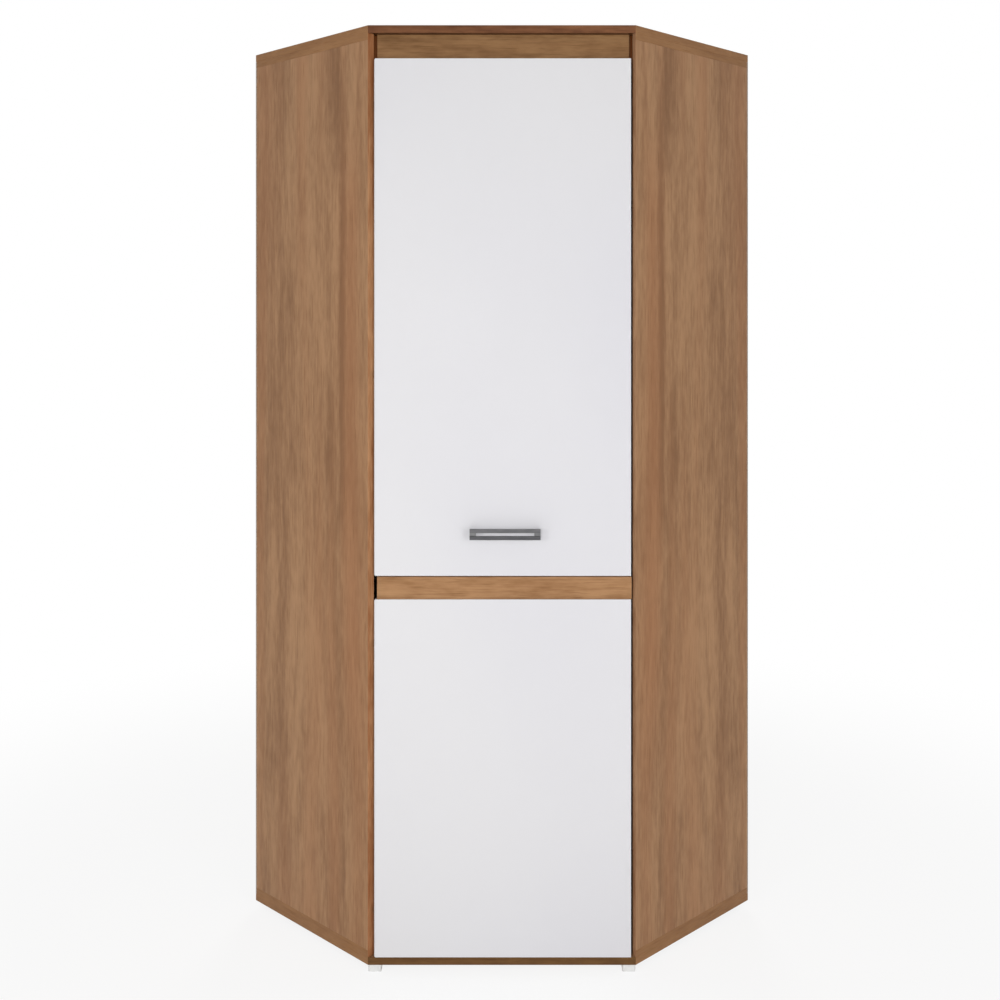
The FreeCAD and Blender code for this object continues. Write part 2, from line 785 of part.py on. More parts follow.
save("top_board", top_board())
save("bottom_board", bottom_board())
save("left_side_panel", on_left(side_panel().cut(plate_screw_holes())))
save("right_side_panel", on_right(latch_arris(side_panel())))
save("left_top_strip", on_left(side_strip(inside_top - side_strip_height)))
save("right_top_strip", on_right(latch_arris(side_strip(inside_top - side_strip_height))))
save("left_bottom_strip", on_left(side_strip(inside_bottom)))
save("right_bottom_strip", on_right(latch_arris(side_strip(inside_bottom))))
save("left_back_sheet", on_left(back_sheet_piece(post_face - sheet_gap)))
save("right_back_sheet", on_right(back_sheet_piece(wall_leg)))
save("back_corner_post", back_corner_post())
save("post_dowels", *post_dowels())
save("hat_shelf", hat_shelf())
save("shelf_pegs", *shelf_pegs())
save("clothes_rail", clothes_rail())
save("rail_hangers", rail_hanger(-hanger_x), rail_hanger(hanger_x))
save("rail_hanger_screws", *[hanger_screw(x, y) for x, y in hanger_screw_points()])
save("top_front_rail", top_front_rail())
save("door_bumpers", *door_bumpers())
save("cam_bolts", *all_joints(cam_bolt()))
save("cam_locks", *all_joints(cam_lock()))
save("floor_glides", *[floor_glide(x, y) for x, y in glide_middles()])
save("glide_nails", *[glide_nail(x, y) for x, y in glide_middles()])
save("hinge_plates", *[hinge_plate(level) for level in hinge_levels])
save("hinge_plate_screws", *[screw for level in hinge_levels for screw in plate_screws(level)])
save("hinge_arms", *[hinge_arm(level) for level in hinge_levels])
save("hinge_arm_screws", *[hinge_arm_screw(level) for level in hinge_levels])
save("hinge_cups", *[hinge_cup(level) for level in hinge_levels])
save("hinge_pins", *[hinge_pin(level) for level in hinge_levels])
save("hinge_cup_screws", *[cup_screw(p) for level in hinge_levels for p in cup_screw_points(level)])
save("upper_door_panel", leaf_panel(strip_top, door_top))
save("lower_door_panel", leaf_panel(door_bottom, strip_bottom))
save("door_strip", door_strip())
save("door_backing_board", door_backing_board())
save("backing_screws", *[countersunk(point, 0) for point in backing_screw_points()])
save("handle_upper_bar", handle_bars()[0])
save("handle_lower_bar", handle_bars()[1])
save("handle_posts", *[handle_post(x) for x in handle_screws_x])
save("handle_screws", *[handle_screw(x) for x in handle_screws_x])
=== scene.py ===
"""Looks of a five-sided corner wardrobe: boards under wood decor, a white gloss door with a wood band across
it, and the fittings that hold them together."""

import bmesh
import bpy
import numpy as np
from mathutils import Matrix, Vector


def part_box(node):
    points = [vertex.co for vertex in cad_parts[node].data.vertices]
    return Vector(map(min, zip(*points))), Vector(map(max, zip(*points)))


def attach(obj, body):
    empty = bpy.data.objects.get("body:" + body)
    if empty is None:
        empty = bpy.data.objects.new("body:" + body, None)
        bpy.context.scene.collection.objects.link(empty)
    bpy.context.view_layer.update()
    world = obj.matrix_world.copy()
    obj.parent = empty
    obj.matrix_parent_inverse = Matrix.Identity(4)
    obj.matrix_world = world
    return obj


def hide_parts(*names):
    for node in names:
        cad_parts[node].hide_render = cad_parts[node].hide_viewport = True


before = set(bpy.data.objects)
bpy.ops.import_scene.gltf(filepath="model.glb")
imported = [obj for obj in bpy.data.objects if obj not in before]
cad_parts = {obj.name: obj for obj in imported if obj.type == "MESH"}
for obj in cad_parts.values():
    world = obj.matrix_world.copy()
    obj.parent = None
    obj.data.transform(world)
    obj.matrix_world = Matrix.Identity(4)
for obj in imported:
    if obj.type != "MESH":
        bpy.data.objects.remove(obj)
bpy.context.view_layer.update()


# Bottom board. A five-sided chipboard sheet under printed wood decor, with plastic edging ironed onto its
# front and sides; the two edges against the walls stay raw. It stands on the glides and carries the sides.
ACROSS, BACK, UP = (1, 0, 0), (0, 1, 0), (0, 0, 1)
PLAN = (ACROSS, BACK, UP)
DIAGONAL = np.sqrt(0.5)
EASE = 0.0005
EASE_STEPS = 3
SAME_POINT = 1e-6
BANDED_FRONT_AND_SIDES = (1, 2, 3, 3, 2)


class Wire:
    """A socket of a material. Sums on wires add Math nodes, and node() adds any other node beside them."""

    def __init__(self, tree, socket):
        self.tree = tree
        self.socket = socket

    def node(self, kind, settings, sockets, out=0):
        made = self.tree.nodes.new("ShaderNode" + kind)
        for key, value in settings.items():
            setattr(made, key, value)
        for key, value in sockets.items():
            if isinstance(value, Wire):
                self.tree.links.new(value.socket, made.inputs[key])
            else:
                made.inputs[key].default_value = value
        return Wire(self.tree, made.outputs[out])

    def math(self, operation, first, second=0.0):
        return self.node("Math", {"operation": operation}, {0: first, 1: second})

    def __add__(self, other):
        return self.math("ADD", self, other)

    def __sub__(self, other):
        return self.math("SUBTRACT", self, other)

    def __rsub__(self, other):
        return self.math("SUBTRACT", other, self)

    def __mul__(self, other):
        return self.math("MULTIPLY", self, other)

    __radd__ = __add__
    __rmul__ = __mul__

    def size(self):
        """This wire without its sign."""
        return self.math("ABSOLUTE", self)

    def along(self, direction):
        """How far this place lies in a direction."""
        return self.node("VectorMath", {"operation": "DOT_PRODUCT"}, {0: self, 1: direction}, "Value")

    def ramp(self, low, high):
        """0 below low, 1 above high, and a smooth step between them."""
        return self.node("MapRange", {"interpolation_type": "SMOOTHSTEP"}, {0: self, 1: low, 2: high})

    def mix(self, none, full):
        """The colour none where this wire is 0, and full where it is 1."""
        return self.node("Mix", {"data_type": "RGBA"}, {0: self, 6: none, 7: full}, 2)

    def into(self, shader, name):
        self.tree.links.new(self.socket, shader.inputs[name])


def paint(red, green, blue):
    """A colour given by its screen levels, 0 to 255, as the light that they stand for on the usual screen."""
    level = np.array([red, green, blue]) / 255
    light = np.where(level > 0.04045, ((level + 0.055) / 1.055) ** 2.4, level / 12.92)
    return (*light, 1.0)


def finish(name, **sockets):
    """A new material with its fixed sockets set, its shader, and the wire of places on the piece."""
    material = bpy.data.materials.new(name)
    material.use_nodes = True
    tree = material.node_tree
    shader = tree.nodes["Principled BSDF"]
    for key, value in sockets.items():
        shader.inputs[key.replace("_", " ").title().replace("Ior", "IOR")].default_value = value
    return material, shader, Wire(tree, tree.nodes.new("ShaderNodeTexCoord").outputs["Object"])


def noise(across, along, seed, swings, detail=2.0):
    """Soft noise from 0 to 1 on two wires, with its own count of swings per metre each way."""
    place = across.node("CombineXYZ", {}, {0: across * swings[0], 1: along * swings[1], 2: seed})
    return place.node("TexNoise", {}, {"Vector": place, "Scale": 1.0, "Detail": detail, "Roughness": 0.55})


def relief(height, depth):
    """The normal of a surface raised by depth metres where height is 1."""
    return height.node("Bump", {}, {"Strength": 1.0, "Distance": depth, "Height": height}, "Normal")


# The decor's layers: their swings per metre across the grain and along it, and their shares in the tone.
BEND_SWINGS, BEND_REACH = (6.0, 0.9), 0.03
GROWTH_SWINGS, GROWTH_SHARE = (42.0, 3.4), 0.7
STREAK_SWINGS, STREAK_SHARE = (13.0, 1.6), 0.85
FLECK_SWINGS, FLECK_SHARE = (95.0, 24.0), 0.68
FIBRE_SWINGS, FIBRE_SHARE = (260.0, 9.0), 0.5
BLUSH_SWINGS, BLUSH_SHARE = (13.0, 0.5), 0.35
STROKE_SWINGS = (330.0, 15.0)
MIDDLE_TONE = 0.57
HEART_ROUND = 0.02
ARCH_SLOPE = 0.08
FOOT_FADE, HEAD_FADE = 0.2, 0.15
PORE_DEPTH = 0.00005
ENDLESS = 9.0


def wood(name, along, across, dark, light, warm, heart=0.0, arch=ENDLESS, seed=0.0, fold=False, shades=(),
         blushes=()):
    """Printed wood decor. Its growth rings are noise on the distance from a heart line plus a share of the
    length, which draws the drawn-out arches of a sawn trunk as far as arch, and straight grain beyond. Slow
    noise bends them, and flecks, fibres and short dark strokes lie on top. Fold mirrors the print about the
    middle of the wardrobe. Shades and blushes are single darker and redder streaks: middle, half width,
    bottom, top and strength, which is below 0 where a streak is lighter."""
    material, shader, place = finish(name, specular_ior_level=0.25)
    if fold:
        apart = place.node("VectorMath", {"operation": "ABSOLUTE"}, {0: place})
        flat = place.node("VectorMath", {"operation": "MULTIPLY"}, {0: place, 1: (0, 1, 1)})
        place = flat.node("VectorMath", {"operation": "MULTIPLY_ADD"}, {0: apart, 1: ACROSS, 2: flat})
    length = place.along(along)
    width = place.along(across)
    bent = width + (noise(width, length, seed, BEND_SWINGS) - 0.5) * BEND_REACH
    off_heart = bent - heart
    reach = off_heart * off_heart + HEART_ROUND ** 2
    ring = reach.math("SQRT", reach) + length.math("MINIMUM", length, arch) * ARCH_SLOPE
    growth = noise(ring, length, seed + 1, GROWTH_SWINGS, 1.5) - 0.5
    streak = noise(bent, length, seed + 3, STREAK_SWINGS) - 0.5
    fleck = noise(bent, length, seed + 9, FLECK_SWINGS) - 0.5
    fibre = noise(width, length, seed + 5, FIBRE_SWINGS)
    stroke = noise(width, length, seed + 11, STROKE_SWINGS, 1.0).ramp(0.57, 0.72)
    blush = noise(bent, length, seed + 7, BLUSH_SWINGS, 1.0).ramp(0.4, 0.64) * BLUSH_SHARE

    def single(middle, half, bottom, top, strength):
        inside = 1 - (bent - middle).size() * (1 / half)
        above_foot = length.ramp(bottom - FOOT_FADE, bottom + FOOT_FADE)
        above_head = length.ramp(top - HEAD_FADE, top + HEAD_FADE)
        return inside.ramp(0.0, 1.0) * above_foot * (1 - above_head) * strength

    shade = sum((single(*figure) for figure in shades), 0.0)
    for figure in blushes:
        blush = blush + single(*figure)
    grain = growth * GROWTH_SHARE + streak * STREAK_SHARE + fleck * FLECK_SHARE + (fibre - 0.5) * FIBRE_SHARE
    tone = grain + MIDDLE_TONE - shade
    colour = blush.mix(tone.ramp(0.0, 1.0).mix(dark, light), warm)
    (stroke * (shade + 0.4)).mix(colour, dark).into(shader, "Base Color")
    (fibre * 0.16 + stroke * 0.1 + 0.4).into(shader, "Roughness")
    relief(fibre * 0.4 - stroke, PORE_DEPTH).into(shader, "Normal")
    return material


CHIPS_PER_METRE = (190, 190, 520)
CHIP_DEPTH = 0.0004


def chipboard(name):
    """Pressed wood chips of a cut edge: cells from a dark brown to a pale one, nearly three times as wide as
    they are high, with darker gaps between them."""
    material, shader, place = finish(name, specular_ior_level=0.2, roughness=0.85)
    drawn = place.node("VectorMath", {"operation": "MULTIPLY"}, {0: place, 1: CHIPS_PER_METRE})
    cells = {"voronoi_dimensions": "3D"}
    kind = drawn.node("TexVoronoi", cells, {"Vector": drawn, "Scale": 1.0}, "Color").along((0.5, 0.3, 0.2))
    gap = drawn.node("TexVoronoi", cells, {"Vector": drawn, "Scale": 1.0}, "Distance").ramp(0.45, 0.85)
    colour = kind.mix(paint(150, 118, 82), paint(206, 178, 136))
    (gap * 0.7).mix(colour, paint(104, 78, 52)).into(shader, "Base Color")
    relief(kind - gap, CHIP_DEPTH).into(shader, "Normal")
    return material


def places(node):
    """Every vertex of a CAD node as one array."""
    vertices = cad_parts[node].data.vertices
    flat = np.empty(len(vertices) * 3, np.float32)
    vertices.foreach_get("co", flat)
    return flat.reshape(-1, 3)


def span(node, direction):
    """How far a CAD node reaches each way along a direction."""
    reach = places(node) @ np.array(direction, float)
    return reach.min(), reach.max()


def piece(name, points, faces, finishes, body, slot, *nodes, marks=None, smooth=None):
    """A mesh at the origin from points and faces. Doubles merge, faces turn outwards, edges flatter than the
    angle smooth are shaded round, and the piece rides on its body in place of its CAD nodes."""
    mesh = bpy.data.meshes.new(name)
    mesh.from_pydata(points.reshape(-1, 3).tolist(), [], faces)
    for material in finishes:
        mesh.materials.append(material)
    if marks is not None:
        mesh.polygons.foreach_set("material_index", marks)
    shell = bmesh.new()
    shell.from_mesh(mesh)
    bmesh.ops.remove_doubles(shell, verts=shell.verts, dist=SAME_POINT)
    bmesh.ops.recalc_face_normals(shell, faces=shell.faces)
    shell.to_mesh(mesh)
    shell.free()
    if smooth:
        mesh.shade_smooth()
        mesh.set_sharp_from_angle(angle=smooth)
    made = bpy.data.objects.new(name, mesh)
    bpy.context.scene.collection.objects.link(made)
    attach(made, body)
    if nodes:
        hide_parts(*nodes)
    return made


def slab(node, outline, axes, finishes, edge_finish, body="carcass", slot="wood_decor", ease=EASE, under=0):
    """A board with eased edges in place of a CAD node. Its outline, drawn in by the ease, is carried round
    the rim: point = corner + ease * cos(tilt) * push(turn) across the board, and face + ease * sin(tilt)
    through it. Push turns round an outer corner and keeps to the middle of an inner one. Axes are the
    outline's two and the board's own through direction. Edge_finish numbers the finish of each edge, and
    under that of the lower face; the upper face has the first one."""
    first, second, through = (np.array(axis, float) for axis in axes)
    low, high = span(node, through)
    corner = np.array(outline, float)
    edge_finish = edge_finish[:len(corner)]
    following = np.roll(corner, -1, 0)
    if (corner[:, 0] * following[:, 1] - corner[:, 1] * following[:, 0]).sum() < 0:
        corner = corner[::-1]
        edge_finish = edge_finish[-2::-1] + edge_finish[-1:]
    run = np.roll(corner, -1, 0) - corner
    leaving = np.arctan2(run[:, 1], run[:, 0]) - np.pi / 2
    coming = np.roll(leaving, 1)
    bend = (leaving - coming + np.pi) % (2 * np.pi) - np.pi
    facing = np.stack([np.cos(leaving), np.sin(leaving)], -1)
    before = np.roll(facing, 1, 0)
    middle = (facing + before) / (1 + (facing * before).sum(1, keepdims=True))
    turn = coming[:, None] + bend[:, None] * np.linspace(0, 1, EASE_STEPS + 1)
    push = np.stack([np.cos(turn), np.sin(turn)], -1)
    push[bend < 0] = middle[bend < 0][:, None]
    inner = corner - ease * middle
    quarter = np.linspace(0, np.pi / 2, EASE_STEPS + 1)
    tilt = np.concatenate([quarter - np.pi / 2, quarter])
    level = np.repeat([low + ease, high - ease], EASE_STEPS + 1) + ease * np.sin(tilt)
    around = inner[:, None] + ease * np.cos(tilt)[:, None, None, None] * push
    across = around.reshape(len(tilt), -1, 2)
    points = across[..., :1] * first + across[..., 1:] * second + level[:, None, None] * through
    rows, columns = across.shape[:2]
    grid = np.arange(rows * columns).reshape(rows, columns)
    beside = np.roll(grid, -1, 1)
    rim = np.stack([grid[:-1], beside[:-1], beside[1:], grid[1:]], -1).reshape(-1, 4)
    faces = rim.tolist() + [grid[0, ::-1].tolist(), grid[-1].tolist()]
    marks = np.append(np.tile(np.repeat(edge_finish, EASE_STEPS + 1), rows - 1), [under, 0])
    return piece(node + "_eased", points, faces, finishes, body, slot, node, marks=marks)


def corner_plan(node):
    """The five corners of a board from its box: the walls meet at a right angle behind it, so the far corners
    lie half a width in front of the back one, and the sides run from them at 45 degrees to the front."""
    low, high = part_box(node)
    far = high.y - high.x
    near = high.x - (far - low.y)
    return [(-near, low.y), (near, low.y), (high.x, far), (0, high.y), (-high.x, far)]


wide_decor = wood("decor_across", ACROSS, BACK, paint(128, 92, 64), paint(166, 130, 98), paint(158, 112, 80),
                  heart=0.05, seed=21)
bottom_edging = wood("bottom_edging", ACROSS, UP, paint(70, 43, 17), paint(122, 88, 49), paint(105, 69, 34),
                     seed=31)
side_edging = wood("side_edging", (DIAGONAL, DIAGONAL, 0), UP, paint(127, 87, 51), paint(166, 123, 81),
                   paint(157, 110, 68), seed=41, fold=True)
raw_edge = chipboard("raw_chipboard")
slab("bottom_board", corner_plan("bottom_board"), PLAN, (wide_decor, bottom_edging, side_edging, raw_edge),
     BANDED_FRONT_AND_SIDES)


# Floor glides. Five moulded white plastic pads that keep the corners of the bottom board off the floor, each
# held by a zinc-plated nail.
def moulded(name, colour, shade):
    """Moulded plastic: nearly even colour with faint flow marks, and the fine grain of an etched mould."""
    material, shader, place = finish(name, specular_ior_level=0.4)
    width, height = place.along((1, 0.4, 0)), place.along((0, 0.3, 1))
    flow = noise(width, height, 2.0, (60.0, 90.0))
    grain = noise(width, height, 4.0, (2600.0, 2600.0))
    flow.ramp(0.3, 0.7).mix(colour, shade).into(shader, "Base Color")
    (grain * 0.14 + 0.36).into(shader, "Roughness")
    relief(grain, 0.00004).into(shader, "Normal")
    return material


def plated(name, colour, tint, roughness, drawing):
    """Plated steel: a clear metal with cloudy tint from the bath, and fine marks whose swings per metre along
    the metal are given by drawing."""
    material, shader, place = finish(name, metallic=1.0)
    width, height = place.along((1, 0.6, 0)), place.along((0, 0.2, 1))
    cloud = noise(width, height, 6.0, (110.0, 70.0), 3.0)
    mark = noise(width, height, 8.0, (900.0, drawing))
    cloud.ramp(0.35, 0.68).mix(colour, tint).into(shader, "Base Color")
    (cloud * 0.12 + mark * 0.14 + (roughness - 0.13)).into(shader, "Roughness")
    relief(mark, 0.000005).into(shader, "Normal")
    return material


def wear(material, *nodes):
    """Gives CAD nodes whose shape is right their finish."""
    for node in nodes:
        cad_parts[node].data.materials.clear()
        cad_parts[node].data.materials.append(material)


zinc = plated("zinc_plate", paint(186, 190, 194), paint(168, 172, 170), 0.34, 900.0)
wear(moulded("white_plastic", paint(238, 238, 236), paint(230, 230, 229)), "floor_glides")
wear(zinc, "glide_nails")


# Side panels. Two tall boards at 45 degrees to the door, with upright grain, printed as mirror images. Cam
# locks near their ends pull them onto the top and bottom boards. The right one's front edging is painted
# greyer and darker than the left one's: painted shade on a copy of the same edging.
SIDES = {"left": -1, "right": 1}
SIDE_WIDTH = (DIAGONAL, DIAGONAL, 0)
SIDE_THROUGH = (DIAGONAL, -DIAGONAL, 0)
SIDE_COLOURS = (paint(134, 95, 63), paint(180, 138, 100), paint(168, 115, 77))
SIDE_HEART = 0.2
SIDE_ARCH = 0.75
BANDED_FRONT_ALONE = (0, 2, 0, 1, 1)
# Single streaks: middle behind the front edge, half width, bottom, top and strength.
SIDE_SHADES = (
    (0.088, 0.016, 1.0, 1.75, 0.42),
    (0.108, 0.028, 1.72, 2.2, 0.3),
    (0.302, 0.045, 0.8, 2.2, 0.2),
    (0.125, 0.03, 0.95, 1.2, 0.2),
    (0.39, 0.07, 0.75, 2.2, 0.16),
    (0.22, 0.13, 0.85, 1.3, 0.1),
    (0.23, 0.14, 0.0, 0.75, -0.14),
    (0.23, 0.12, 1.45, 2.2, -0.06),
    (0.302, 0.045, 0.0, 0.8, 0.16),
    (0.1, 0.06, 0.1, 0.75, 0.14),
    (0.082, 0.02, 1.0, 2.2, 0.1),
)
SIDE_BLUSHES = ((0.06, 0.045, 0.5, 1.7, 0.5),)
# One edging in two copies: the right copy is painted greyer and darker as painted shade.
EDGING_COLOURS_RIGHT_PAINTED_SHADE = {
    "left": (paint(138, 82, 44), paint(197, 149, 107), paint(184, 120, 76)),
    "right": (paint(124, 85, 56), paint(178, 139, 106), paint(158, 112, 79)),
}
# Darker towards the foot, and painted shadow at the head, under the top board.
FOOT_DARKENING_AND_HEAD_SHADOW = (
    (0.0, ENDLESS, -ENDLESS, 0.75, 0.08),
    (0.0, ENDLESS, -ENDLESS, 0.3, 0.08),
    (0.0, ENDLESS, 1.7, ENDLESS, 0.15),
)
# The left edging gets a second painted shadow at the head, under the top board.
EDGING_SHADES = {
    "left": FOOT_DARKENING_AND_HEAD_SHADOW + ((0.0, ENDLESS, 1.85, ENDLESS, 0.12),),
    "right": FOOT_DARKENING_AND_HEAD_SHADOW,
}


def plan_point(side, out, back):
    """The plan point that lies out along a side's outward line and back along its depth."""
    return (side * (out + back) * DIAGONAL, (back - out) * DIAGONAL)


def side_section(node, side):
    """The plan of a side panel or strip, outer face first. Its inner front arris is bevelled as far as the
    node's innermost point lies outside the square corner."""
    inner, outer = span(node, (side * DIAGONAL, -DIAGONAL, 0))
    front, back = span(node, (side * DIAGONAL, DIAGONAL, 0))
    bevel = span(node, (side, 0, 0))[0] / DIAGONAL - inner - front
    section = [(outer, front), (outer, back), (inner, back), (inner, front + bevel), (inner + bevel, front)]
    return [plan_point(side, *corner) for corner in section[:5 if bevel > EASE else 4]]


side_front = span("right_side_panel", SIDE_WIDTH)[0]
side_decor = wood(
    "decor_upright", UP, SIDE_WIDTH, *SIDE_COLOURS, heart=side_front + SIDE_HEART, arch=SIDE_ARCH, seed=3,
    fold=True,
    shades=[(side_front + behind, *rest) for behind, *rest in SIDE_SHADES],
    blushes=[(side_front + behind, *rest) for behind, *rest in SIDE_BLUSHES])
front_edgings_painted_shade = {
    name: wood(name + "_edging", UP, SIDE_THROUGH, *EDGING_COLOURS_RIGHT_PAINTED_SHADE[name], seed=51, fold=True,
               shades=EDGING_SHADES[name])
    for name in SIDES
}
for name, side in SIDES.items():
    panel = name + "_side_panel"
    slab(panel, side_section(panel, side), PLAN, (side_decor, front_edgings_painted_shade[name], raw_edge),
         BANDED_FRONT_ALONE)


# Cross-grain strips. A lath above and one below each side panel, with its grain along the board edge that it
# lies against, so that board and strip read as one thick band.
THIN_EASE = 0.0003
for name, side in SIDES.items():
    for end in ("_top_strip", "_bottom_strip"):
        lath = name + end
        slab(lath, side_section(lath, side), PLAN, (side_edging, front_edgings_painted_shade[name], raw_edge),
             BANDED_FRONT_ALONE, ease=THIN_EASE)


# Corner post and back sheets. A squared post stands in the room's corner on beech dowels, and two hardboard
# sheets, painted white inside and left brown outside, are pinned to it, to the side panels and to the shelf.
WALLS = {
    "left": ((DIAGONAL, DIAGONAL, 0), UP, (-DIAGONAL, DIAGONAL, 0)),
    "right": ((-DIAGONAL, DIAGONAL, 0), UP, (DIAGONAL, DIAGONAL, 0)),
}
PLAIN_EDGES = (0, 0, 0, 0)
PAINT_FULL, PAINT_END = 0.0003, 0.0008
FELT_DEPTH = 0.0002


def upright(node, axes):
    """The four corners of a board that stands on edge, along its own two axes."""
    (left, right), (bottom, top) = span(node, axes[0]), span(node, axes[1])
    return [(left, bottom), (right, bottom), (right, top), (left, top)]


wear(wood("decor_post", UP, (1, 0.3, 0), *SIDE_COLOURS, seed=61), "back_corner_post")
wear(wood("beech", UP, (1, 0.5, 0), paint(176, 134, 92), paint(212, 176, 132), paint(196, 148, 104), seed=71),
     "post_dowels")

hardboard, hardboard_shader, place = finish("painted_hardboard", specular_ior_level=0.3)
wall_inside = span("right_back_sheet", (DIAGONAL, DIAGONAL, 0))[0]
folded = place.node("VectorMath", {"operation": "ABSOLUTE"}, {0: place})
depth = folded.along((DIAGONAL, 0, 0)) + place.along((0, DIAGONAL, 0))
outside = depth.ramp(wall_inside + PAINT_FULL, wall_inside + PAINT_END)
width, height = place.along(ACROSS), place.along(UP)
felt = noise(width, height, 1.0, (700.0, 700.0), 4.0)
patch = noise(width, height, 5.0, (14.0, 9.0), 3.0)
brown = (felt * 0.8 + patch * 0.2).ramp(0.3, 0.7).mix(paint(112, 84, 58), paint(146, 114, 82))
white = patch.ramp(0.3, 0.7).mix(paint(227, 226, 221), paint(223, 222, 217))
outside.mix(white, brown).into(hardboard_shader, "Base Color")
(outside * 0.3 + felt * 0.1 + 0.5).into(hardboard_shader, "Roughness")
relief(felt * outside, FELT_DEPTH).into(hardboard_shader, "Normal")
for name, axes in WALLS.items():
    sheet = name + "_back_sheet"
    slab(sheet, upright(sheet, axes), axes, (hardboard,), PLAIN_EDGES, slot="back_hardboard", ease=THIN_EASE)


# Panel pins. Flat-headed zinc nails driven through the back sheets, in a row up each side panel, a row up the
# post and one along the shelf.
PIN_RADIUS = 0.0024
PIN_RISE = 0.0006
PIN_PITCH = 0.096
PIN_END = PIN_PITCH / 3
PIN_MARGIN_AT_SIDE = 0.008
PIN_MARGIN_AT_POST = 0.02
PIN_SMOOTH = 0.9


def domes(centres, first, second, outward, radius, rise, rings=4, turns=14):
    """Low round heads, as points by head, ring and turn: at a share r of the radius the height is
    rise * (1 - r**4), turned about the outward line."""
    share = np.linspace(0, 1, rings + 1)[:, None]
    turn = np.arange(turns) * 2 * np.pi / turns
    flat = radius * share[..., None] * (np.cos(turn)[:, None] * first + np.sin(turn)[:, None] * second)
    return centres[:, None, None] + flat + (rise * (1 - share ** 4))[..., None] * outward


def turned_faces(points):
    """The faces of round shapes whose points are given by shape, ring and turn: four-sided ones between
    neighbouring rings, and one that closes the last ring of each shape."""
    grid = np.arange(points.size // 3).reshape(points.shape[:3])
    beside = np.roll(grid, -1, 2)
    sides = np.stack([grid[:, :-1], grid[:, 1:], beside[:, 1:], beside[:, :-1]], -1)
    return sides.reshape(-1, 4).tolist() + grid[:, -1, ::-1].tolist()


for name, axes in WALLS.items():
    sheet = name + "_back_sheet"
    first, second, outward = (np.array(axis, float) for axis in axes)
    (near, far), (bottom, top) = span(sheet, first), span(sheet, second)
    rows = np.linspace(bottom + PIN_END, top - PIN_END, int((top - bottom) / PIN_PITCH))
    shares = np.linspace(near + PIN_PITCH, far - PIN_PITCH, int((far - near) / PIN_PITCH))
    shelf = np.mean(span("hat_shelf", second))
    spots = [(edge, row) for edge in (near + PIN_MARGIN_AT_SIDE, far - PIN_MARGIN_AT_POST) for row in rows]
    spots = np.array(spots + [(share, shelf) for share in shares])
    centres = spots[:, :1] * first + spots[:, 1:] * second + span(sheet, outward)[1] * outward
    heads = domes(centres, first, second, outward, PIN_RADIUS, PIN_RISE)
    piece(name + "_panel_pins", heads, turned_faces(heads), (zinc,), "carcass", "zinc_screws",
          smooth=PIN_SMOOTH)


# Hat shelf. A decor board with edging along its front, cut out round the corner post; it is held by cams at
# the sides and lies on nickel-plated pegs at the post.
BANDED_SHELF_FRONT = (2, 2, 2, 2, 2, 2, 1)
shelf_low, shelf_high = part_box("hat_shelf")
shelf_wall = span("hat_shelf", (DIAGONAL, DIAGONAL, 0))[1]
shelf_side = span("hat_shelf", (DIAGONAL, -DIAGONAL, 0))[1]
post_face = shelf_high.y / DIAGONAL - shelf_wall
front_half = shelf_side / DIAGONAL + shelf_low.y
right_half = [(front_half, shelf_low.y), plan_point(1, shelf_side, shelf_wall),
              plan_point(1, -post_face, shelf_wall)]
shelf_outline = right_half + [(0, post_face / DIAGONAL)] + [(-x, y) for x, y in right_half[::-1]]
slab("hat_shelf", shelf_outline, PLAN, (wide_decor, side_edging, raw_edge), BANDED_SHELF_FRONT)
nickel = plated("nickel_plate", paint(196, 192, 186), paint(178, 174, 168), 0.27, 260.0)
wear(nickel, "shelf_pegs")


# Clothes rail. An oval steel tube, chromed like the two hangers that it lies in; zinc-plated screws hold the
# hangers up against the shelf.
chrome = plated("chrome_plate", paint(214, 215, 219), paint(202, 204, 209), 0.14, 40.0)
wear(chrome, "clothes_rail", "rail_hangers")
wear(zinc, "rail_hanger_screws")


# Top board and top rail. The lid has a dark front edging and an underside painted darker than its top:
# painted shade under the lid. The rail is set back under it, held by cams; its rebated ends leave a groove
# beside each side panel, painted dark brown as painted shade. Clear stops on the rail cushion the door.
LID_UNDERSIDE = 4
top_edging = wood("top_edging", ACROSS, UP, paint(74, 38, 18), paint(136, 91, 60), paint(119, 68, 40),
                  seed=81)
# The lid's underside: the same decor as its top, painted darker as painted shade under the lid.
top_underside_painted_shade = wood("top_underside_painted_shade", ACROSS, BACK, paint(66, 36, 14), paint(104, 68, 40), paint(92, 54, 28),
                     heart=0.05, seed=21)
slab("top_board", corner_plan("top_board"), PLAN,
     (wide_decor, top_edging, side_edging, raw_edge, top_underside_painted_shade), BANDED_FRONT_AND_SIDES,
     under=LID_UNDERSIDE)

rail_decor = wood("decor_rail", ACROSS, UP, paint(102, 69, 39), paint(158, 120, 81), paint(142, 97, 60),
                  heart=1.9, seed=91)
rail_places = places("top_front_rail")
rail_front = rail_places[:, 1].min()
rail_face = rail_places[rail_places[:, 1] < rail_front + EASE, 0]
face_half = np.ptp(rail_face) / 2
rail_tree = rail_decor.node_tree
rail_shader = rail_tree.nodes["Principled BSDF"]
place = Wire(rail_tree, rail_tree.nodes["Texture Coordinate"].outputs["Object"])
face_colour = Wire(rail_tree, rail_shader.inputs["Base Color"].links[0].from_socket)
# The rebated ends are painted dark brown: painted shade in the groove beside each side panel.
tongue_painted_shade = (place.along(ACROSS) - (rail_face.min() + face_half)).size().ramp(face_half, face_half + EASE)
tongue_painted_shade.mix(face_colour, paint(118, 66, 26)).into(rail_shader, "Base Color")
wear(rail_decor, "top_front_rail")

rubber, rubber_shader, place = finish("clear_rubber", roughness=0.22, transmission_weight=0.55, ior=1.45)
haze = noise(place.along(ACROSS), place.along(UP), 3.0, (500.0, 500.0))
haze.ramp(0.3, 0.7).mix(paint(232, 234, 234), paint(214, 217, 218)).into(rubber_shader, "Base Color")
wear(rubber, "door_bumpers")


